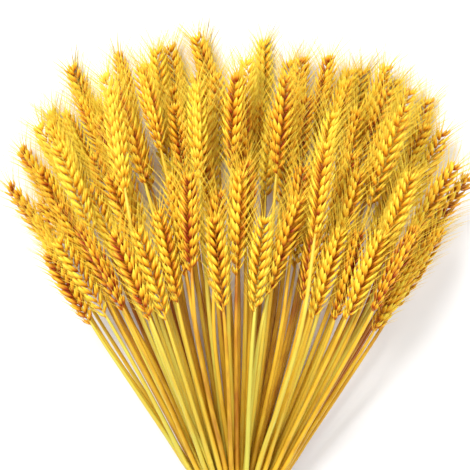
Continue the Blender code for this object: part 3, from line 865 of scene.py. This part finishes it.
def fibre_group():
    """Streaks that run along a tube, from where a point is round it and along it."""
    group, given, made = new_group(
        "plant_fibre",
        (
            ("Grain", "NodeSocketVector", None),
            ("Random", "NodeSocketFloat", 0.5),
            ("Fineness", "NodeSocketFloat", 6.0),
            ("Stretch", "NodeSocketFloat", 0.12),
        ),
        (("Streak", "NodeSocketFloat"), ("Patch", "NodeSocketFloat")),
    )
    parts = group.nodes.new("ShaderNodeSeparateXYZ")
    group.links.new(given["Grain"], parts.inputs[0])
    stretched = group.nodes.new("ShaderNodeCombineXYZ")
    feed(group, stretched.inputs[0], parts.outputs[0])
    feed(group, stretched.inputs[1], parts.outputs[1])
    feed(group, stretched.inputs[2], maths(group, "MULTIPLY", parts.outputs[2], given["Stretch"]))
    moment = maths(group, "MULTIPLY", given["Random"], RANDOM_MOMENTS)
    fine = noise(group, stretched.outputs[0], given["Fineness"], 3.0, moment)
    group.links.new(spread(group, fine, STREAKS_FROM, STREAKS_TO), made["Streak"])
    patch = noise(group, given["Grain"], PATCH_SCALE, 2.0, moment)
    group.links.new(spread(group, patch, PATCHES_FROM, PATCHES_TO), made["Patch"])
    return group


THREE_TONES = colour_group()
PLANT_FIBRE = fibre_group()
print("shader groups:", THREE_TONES.name, PLANT_FIBRE.name)

# %% [markdown]
# One function builds every fibrous material. It takes the stalk's tone, the place along the tube and the
# patches, weighs them into a share for the colours, and lets the streaks darken, roughen and raise the
# surface. The bump is only that fine, as everything larger is real geometry.

# %% A fibrous material
BASE_SHADE_UNTIL, TIP_LIGHT_FROM = 0.25, 0.95
STREAK_SHADE = (0.9, 0.8, 0.8)
STREAK_HEIGHT = 0.0003
PLANT_SPECULAR = 0.35


def plant_material(name, tones, uneven, share, rough, grain, bump, streak_darkens=0.25):
    """A fibrous material. share weighs the stalk's tone, the place along the tube and the patches.

    Its fourth number is what the colour starts from. rough is for the smooth and the rough streaks, and
    grain is how fine the streaks are and how much they are shortened along the tube.
    """
    material = bpy.data.materials.new(name)
    material.use_nodes = True
    tree = material.node_tree
    shader = tree.nodes["Principled BSDF"]
    tone = tree.nodes.new("ShaderNodeAttribute")
    tone.attribute_name = "tone"
    grown = tree.nodes.new("ShaderNodeAttribute")
    grown.attribute_name = "grain"
    parts = tree.nodes.new("ShaderNodeSeparateColor")
    tree.links.new(tone.outputs["Color"], parts.inputs[0])
    stalk_tone, along, chance = parts.outputs

    fibre = tree.nodes.new("ShaderNodeGroup")
    fibre.node_tree = PLANT_FIBRE
    fineness, stretch = grain
    for socket, value in (
        ("Grain", grown.outputs["Vector"]), ("Random", chance), ("Fineness", fineness), ("Stretch", stretch)
    ):
        feed(tree, fibre.inputs[socket], value)
    streak, patch = fibre.outputs["Streak"], fibre.outputs["Patch"]

    by_tone, by_painted_shade, by_patch, base = share
    total = maths(tree, "MULTIPLY_ADD", stalk_tone, by_tone, base)
    # The place along the tube paints shade at the base and light at the tip.
    total = maths(tree, "MULTIPLY_ADD", spread(tree, along, BASE_SHADE_UNTIL, TIP_LIGHT_FROM), by_painted_shade, total)
    total = maths(tree, "MULTIPLY_ADD", patch, by_patch, total)
    mix = tree.nodes.new("ShaderNodeGroup")
    mix.node_tree = THREE_TONES
    deep, middle, light = tones
    for socket, value in (
        ("Deep", (*deep, 1.0)), ("Middle", (*middle, 1.0)), ("Light", (*light, 1.0)),
        ("Share", total), ("Uneven", uneven), ("Random", chance),
    ):
        feed(tree, mix.inputs[socket], value)
    shade = tuple(channel * factor for channel, factor in zip(deep, STREAK_SHADE))
    darkens = maths(tree, "MULTIPLY", maths(tree, "SUBTRACT", 1.0, streak), streak_darkens)
    tree.links.new(mixed(tree, darkens, mix.outputs["Color"], (*shade, 1.0)), shader.inputs["Base Color"])

    smooth_side, rough_side = rough
    tree.links.new(spread(tree, streak, 0.0, 1.0, rough_side, smooth_side), shader.inputs["Roughness"])
    raised = tree.nodes.new("ShaderNodeBump")
    raised.inputs["Strength"].default_value = bump
    raised.inputs["Distance"].default_value = STREAK_HEIGHT
    tree.links.new(streak, raised.inputs["Height"])
    tree.links.new(raised.outputs["Normal"], shader.inputs["Normal"])
    shader.inputs["Specular IOR Level"].default_value = PLANT_SPECULAR
    return material


# %% [markdown]
# The dye has gone in unevenly, as it does on a dried plant: some stalks are more lemon and some more
# orange, and straws keep some olive green. Husks go from deep orange where they sit on the stem to clear
# yellow at their tips, which is painted shade on the hidden bases and painted light on the tips. Awns are
# paler than their husks, and so is the inside of a straw, which the dye hasn't reached.

# %% Materials of the stalks and the twine
# Each has its deep, middle and light tone. On husks and straws the deep tone also serves as painted shade.
husk_tones = ((0.38, 0.045, 0.002), (0.93, 0.46, 0.008), (0.98, 0.80, 0.055))
straw_tones = ((0.40, 0.11, 0.004), (0.82, 0.51, 0.026), (0.70, 0.65, 0.09))
awn_tones = ((0.92, 0.55, 0.02), (0.97, 0.74, 0.06), (0.98, 0.86, 0.16))
pith_tones = ((0.62, 0.45, 0.20), (0.80, 0.66, 0.38), (0.88, 0.78, 0.52))
twine_tones = ((0.24, 0.13, 0.05), (0.50, 0.33, 0.16), (0.68, 0.50, 0.29))
golden_husk = plant_material(
    "golden_husk", husk_tones, uneven=0.5, share=(0.72, 0.74, 0.16, -0.19), rough=(0.42, 0.62),
    grain=(3.2, 0.5), bump=0.45,
)
golden_straw = plant_material(
    "golden_straw", straw_tones, uneven=0.7, share=(0.68, 0.0, 0.30, -0.05), rough=(0.30, 0.50),
    grain=(5.0, 0.10), bump=0.3,
)
awn_bristle = plant_material(
    "awn_bristle", awn_tones, uneven=0.3, share=(0.3, 0.4, 0.1, 0.1), rough=(0.45, 0.60),
    grain=(2.0, 0.5), bump=0.1,
)
straw_pith = plant_material(
    "straw_pith", pith_tones, uneven=0.5, share=(0.1, 0.0, 0.4, 0.4), rough=(0.70, 0.90),
    grain=(6.0, 1.0), bump=0.6,
)
twine_fibre = plant_material(
    "twine_fibre", twine_tones, uneven=0.4, share=(0.2, 0.0, 0.4, 0.3), rough=(0.75, 0.95),
    grain=(5.0, 0.6), bump=0.8, streak_darkens=0.5,
)
STALK_MATERIALS = (golden_husk, golden_straw, awn_bristle, straw_pith)
print("materials of a stalk:", [material.name for material in STALK_MATERIALS])

# %% [markdown]
# Each imported node holds two stalks whose straws press on each other in the tie. The fine pair takes the
# node's place, and a little of it reaches past the solid, mostly awns and the tips of husks. A stalk's tone
# is part chance and part its place, since the far ears are paler. A straw is paler the higher it lies, which
# is painted shade on the straws low in the pile.

# %% Grow every pair of stalks
TONE_FROM, TONE_BY_CHANCE = 0.22, 0.65
STRAW_TONE_BY_CHANCE = 0.5
SHORT_TO_A_PIECE = 9


def grow_stalks(name, chosen, draw):
    """One piece with these stalks, each given with its line."""
    growth = Growth()
    for stalk, course in chosen:
        grow_straw(growth, stalk, course, draw)
        grow_ear(growth, stalk, course, draw)
    return growth.grown(name, STALK_MATERIALS), sum(len(face) - 2 for face in growth.faces)


draw = random.Random(SEED + 1)
for stalk in stalks + short_stalks:
    further = (stalk.reach - TONE_FROM) / (REACH - TONE_FROM)
    stalk.tone = TONE_BY_CHANCE * draw.random() + (1 - TONE_BY_CHANCE) * min(1.0, max(0.0, further))
    # Straws in the lower rows get a deeper tone, which is painted shade.
    stalk.straw_tone = STRAW_TONE_BY_CHANCE * draw.random() + (1 - STRAW_TONE_BY_CHANCE) * (stalk.up + 1) / 2
    stalk.chance = draw.random()
triangles = 0
for number in range(1, len(stalks) // 2 + 1):
    two = slice(2 * number - 2, 2 * number)
    pair, made = grow_stalks(f"stalks_{number:02d}", zip(stalks[two], courses[two]), draw)
    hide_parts(f"wheat_pair_{number:02d}")
    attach(pair, "root")
    triangles += made
for first in range(0, len(short_stalks), SHORT_TO_A_PIECE):
    some = slice(first, first + SHORT_TO_A_PIECE)
    name = f"short_stalks_{first // SHORT_TO_A_PIECE + 1}"
    several, made = grow_stalks(name, zip(short_stalks[some], short_courses[some]), draw)
    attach(several, "root")
    triangles += made
print("triangles in the stalks:", triangles)

# %% [markdown]
# The tie is a length of two-ply twine, wound three times round the neck and knotted on top. Each ply is a
# tube that winds round the twine's middle line, and its two cut ends come apart into fibres.

# %% Twine
PLY_RADIUS, PLY_OFFSET = 0.00078, 0.00058
PLY_PITCH = 0.0075
PLY_STEP = 0.0009
KNOT_SIZE = (0.0021, 0.0017, 0.0013)
KNOT_TOP = NECK_HEIGHT + NECK_HIGH + TWINE
END_LENGTH = 0.021
FIBRES, END_FIBRES = 150, 25
FIBRE_RADII = 0.00009 * np.array((0.0, 1.0, 0.7, 0.0))
FIBRE_SHARES = np.array((0.0, 0.1, 0.5, 1.0))
FIBRE_TONE = 0.7
FIBRE_LENGTHS, END_FIBRE_LENGTHS = (0.0012, 0.0030), (0.0015, 0.0040)
PLY_CHANCES = (0.2, 0.7)
TWINE_TONE, END_TONE = 0.5, 0.6
ONLY_MATERIAL = 0
# Directions that no twine and no fibre runs along, from which their sides are found.
TWINE_ASKEW, FIBRE_ASKEW = (0.31, 0.22, 0.93), (0.3, 0.2, 0.9)
ROUND_TURN_POINTS = 60


def resampled(line, step):
    """The line again with points at even steps."""
    lengths = np.concatenate(((0.0,), np.cumsum(np.linalg.norm(np.diff(line, axis=0), axis=1))))
    places = np.linspace(0.0, lengths[-1], max(8, round(lengths[-1] / step)))
    return np.column_stack([np.interp(places, lengths, line[:, axis]) for axis in range(3)]), places


def wind_twine(growth, line, tone, opens=0.0):
    """Two plies round a line. opens lets them come apart towards its end, by this share of their offset."""
    line, places = resampled(line, PLY_STEP)
    forward = unit(np.gradient(line, axis=0))
    side = unit(np.cross(forward, TWINE_ASKEW))
    over = np.cross(forward, side)
    apart = 1.0 + opens * (places / places[-1]) ** 4
    for ply in range(2):
        angle = math.tau * places / PLY_PITCH + ply * math.pi
        away = side * np.cos(angle)[:, None] + over * np.sin(angle)[:, None]
        path = line + away * (PLY_OFFSET * apart)[:, None]
        path = np.vstack((path[:1], path, path[-1:]))
        radii = np.concatenate(((0.0,), np.full(len(line), PLY_RADIUS), (0.0,)))
        outer = np.vstack((away[:1], away, away[-1:]))
        along = unit(np.gradient(path, axis=0))
        across = unit(np.cross(outer, along))
        growth.tube(path, across, outer, radii, ROUND[6], ONLY_MATERIAL, tone, chance=PLY_CHANCES[ply])


def add_fibre(growth, start, towards, strays, draw, lengths):
    """One loose fibre of the twine, which strays from the direction given."""
    stray = unit(towards + [draw.uniform(-strays, strays) for _ in range(3)])
    line = start + stray * FIBRE_SHARES[:, None] * draw.uniform(*lengths)
    across = unit(np.cross(stray, FIBRE_ASKEW))
    over = np.cross(stray, across)
    growth.tube(line, across, over, FIBRE_RADII, ROUND[3], ONLY_MATERIAL, FIBRE_TONE)


tie = Growth()
turns = np.linspace(0.0, 1.0, ROUND_TURN_POINTS * TWINE_TURNS)
angles = math.pi / 2 + math.tau * TWINE_TURNS * turns
around = np.column_stack((
    (NECK_WIDE + TWINE / 2) * np.cos(angles),
    (turns - 0.5) * TWINE * (TWINE_TURNS - 1),
    NECK_HEIGHT + (NECK_HIGH + TWINE / 2) * np.sin(angles),
))
wind_twine(tie, around, TWINE_TONE)
print("points in the turns of twine:", tie.count)

# %% [markdown]
# The knot is drawn as one small trefoil, the shape of an overhand knot pulled tight, and the two ends leave
# it towards the straws' cut ends, drooping a little.

# %% The knot and its ends
KNOT_POINTS, KNOT_LOOPS, KNOT_SINKS = 90, 1.3, 0.0002
loop = np.linspace(0.0, math.tau, KNOT_POINTS)
knot = np.column_stack((
    KNOT_SIZE[0] * (np.sin(loop) + KNOT_LOOPS * np.sin(2 * loop)),
    KNOT_SIZE[1] * (np.cos(loop) - KNOT_LOOPS * np.cos(2 * loop)),
    KNOT_TOP - KNOT_SINKS - KNOT_SIZE[2] * np.sin(3 * loop),
))
wind_twine(tie, knot, TWINE_TONE)
END_ASIDE, END_BACK, END_UP = 0.75, -0.62, 0.16
END_POINTS, END_SWAYS, END_DROOPS, END_OPENS = 24, 0.0012, 0.0018, 0.9
END_FRAYS_FROM, END_FIBRES_STRAY = 0.001, 0.45
end_draw = random.Random(SEED + 2)
for side in (-1, 1):
    aim = unit((side * END_ASIDE, END_BACK, END_UP))
    run = np.linspace(0.0, 1.0, END_POINTS)[:, None]
    end = np.array((0.0, 0.0, KNOT_TOP)) + aim * run * END_LENGTH
    end = end + np.array((side * END_SWAYS, 0.0, 0.0)) * np.sin(run * math.pi * 1.5)
    end = end - np.array((0.0, 0.0, END_DROOPS)) * run**2
    wind_twine(tie, end, END_TONE, opens=END_OPENS)
    for _ in range(END_FIBRES):
        start = end[-1] - aim * END_FRAYS_FROM
        add_fibre(tie, start, aim, END_FIBRES_STRAY, end_draw, END_FIBRE_LENGTHS)
print("points with the knot and the ends:", tie.count)

# %% [markdown]
# Jute is hairy, so short fibres stand off all round the turns. They are drawn after the knot, and the whole
# tie then stands for its coarse node.

# %% Loose fibres
FIBRES_START, FIBRES_WIDE = 0.8, 1.4
FIBRES_OUTWARD, FIBRES_STRAY = 0.6, 0.9
for _ in range(FIBRES):
    angle = end_draw.uniform(0.0, math.tau)
    out = unit((math.cos(angle) / NECK_WIDE, 0.0, math.sin(angle) / NECK_HIGH))
    start = np.array((
        (NECK_WIDE + TWINE * FIBRES_START) * math.cos(angle),
        end_draw.uniform(-FIBRES_WIDE, FIBRES_WIDE) * TWINE,
        NECK_HEIGHT + (NECK_HIGH + TWINE * FIBRES_START) * math.sin(angle),
    ))
    add_fibre(tie, start, out * FIBRES_OUTWARD, FIBRES_STRAY, end_draw, FIBRE_LENGTHS)
twine = tie.grown("twine_wound", (twine_fibre,))
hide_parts("twine_tie")
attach(twine, "root")
print("triangles in the tie:", sum(len(face) - 2 for face in tie.faces))

# %% [markdown]
# The photograph has a plain white ground. A pale sheet lies just under the bunch, and a faint mottle keeps
# it from looking like an empty page.

# %% The floor
FLOOR_SIDE = 6.0
FLOOR_PLACE = (0.0, 0.236, -0.0004)
MOTTLE_SCALE = 3.0
FLOOR_ROUGHNESS, FLOOR_SPECULAR = 0.9, 0.1
FLOOR_DARK, FLOOR_PALE = (0.90, 0.90, 0.90, 1.0), (0.93, 0.93, 0.93, 1.0)
floor_mesh = bmesh.new()
bmesh.ops.create_grid(floor_mesh, x_segments=1, y_segments=1, size=FLOOR_SIDE / 2)
floor_data = bpy.data.meshes.new("floor")
floor_mesh.to_mesh(floor_data)
floor_mesh.free()
floor = bpy.data.objects.new("floor", floor_data)
floor.location = FLOOR_PLACE
bpy.context.scene.collection.objects.link(floor)
floor_material = bpy.data.materials.new("pale_sheet")
floor_material.use_nodes = True
floor_tree = floor_material.node_tree
floor_shader = floor_tree.nodes["Principled BSDF"]
place = floor_tree.nodes.new("ShaderNodeTexCoord")
mottle = noise(floor_tree, place.outputs["Object"], MOTTLE_SCALE, 2.0)
floor_tree.links.new(mixed(floor_tree, mottle, FLOOR_DARK, FLOOR_PALE), floor_shader.inputs["Base Color"])
floor_shader.inputs["Roughness"].default_value = FLOOR_ROUGHNESS
floor_shader.inputs["Specular IOR Level"].default_value = FLOOR_SPECULAR
floor_data.materials.append(floor_material)
print("the floor is", FLOOR_SIDE, "m wide")

# %% [markdown]
# The light in the photograph is soft and even. A bright sky gives the same, one large lamp at the upper left
# gives the husks their shading, and a weaker one opposite keeps the shadows open.

# %% The light
LAMPS_LOOK_AT = (0.0, 0.25, 0.0)
SKY_STRENGTH = 0.70


def add_lamp(name, place, side, power):
    """A square lamp of this side in metres and power in watts, turned to the middle of the bunch."""
    data = bpy.data.lights.new(name, "AREA")
    data.size, data.energy = side, power
    lamp = bpy.data.objects.new(name, data)
    lamp.location = place
    lamp.rotation_euler = (Vector(LAMPS_LOOK_AT) - lamp.location).to_track_quat("-Z", "Y").to_euler()
    bpy.context.scene.collection.objects.link(lamp)


add_lamp("key_light", (-0.50, 0.80, 1.25), 0.55, 21.0)
add_lamp("fill_light", (0.75, -0.10, 1.10), 0.9, 6.0)
world = bpy.data.worlds.new("studio")
world.use_nodes = True
world.node_tree.nodes["Background"].inputs["Color"].default_value = (1.0, 1.0, 1.0, 1.0)
world.node_tree.nodes["Background"].inputs["Strength"].default_value = SKY_STRENGTH
bpy.context.scene.world = world

# %% [markdown]
# The camera looks straight down on the bunch, as in the photograph, through a long lens, so that ears near
# it aren't drawn much larger. The picture ends above the tie, as the photograph does.

# %% The camera
CAMERA_PLACE = (-0.003, 0.232, 1.040)
LENS, SENSOR = 100.0, 36.0
camera_data = bpy.data.cameras.new("camera")
camera_data.lens, camera_data.sensor_width = LENS, SENSOR
camera_data.clip_start, camera_data.clip_end = 0.01, 20.0
camera = bpy.data.objects.new("camera", camera_data)
camera.location = CAMERA_PLACE
bpy.context.scene.collection.objects.link(camera)
bpy.context.scene.camera = camera
bpy.context.scene.view_settings.view_transform = "Standard"
bpy.context.scene.view_settings.look = "None"
print("the camera is", CAMERA_PLACE[2], "m up")
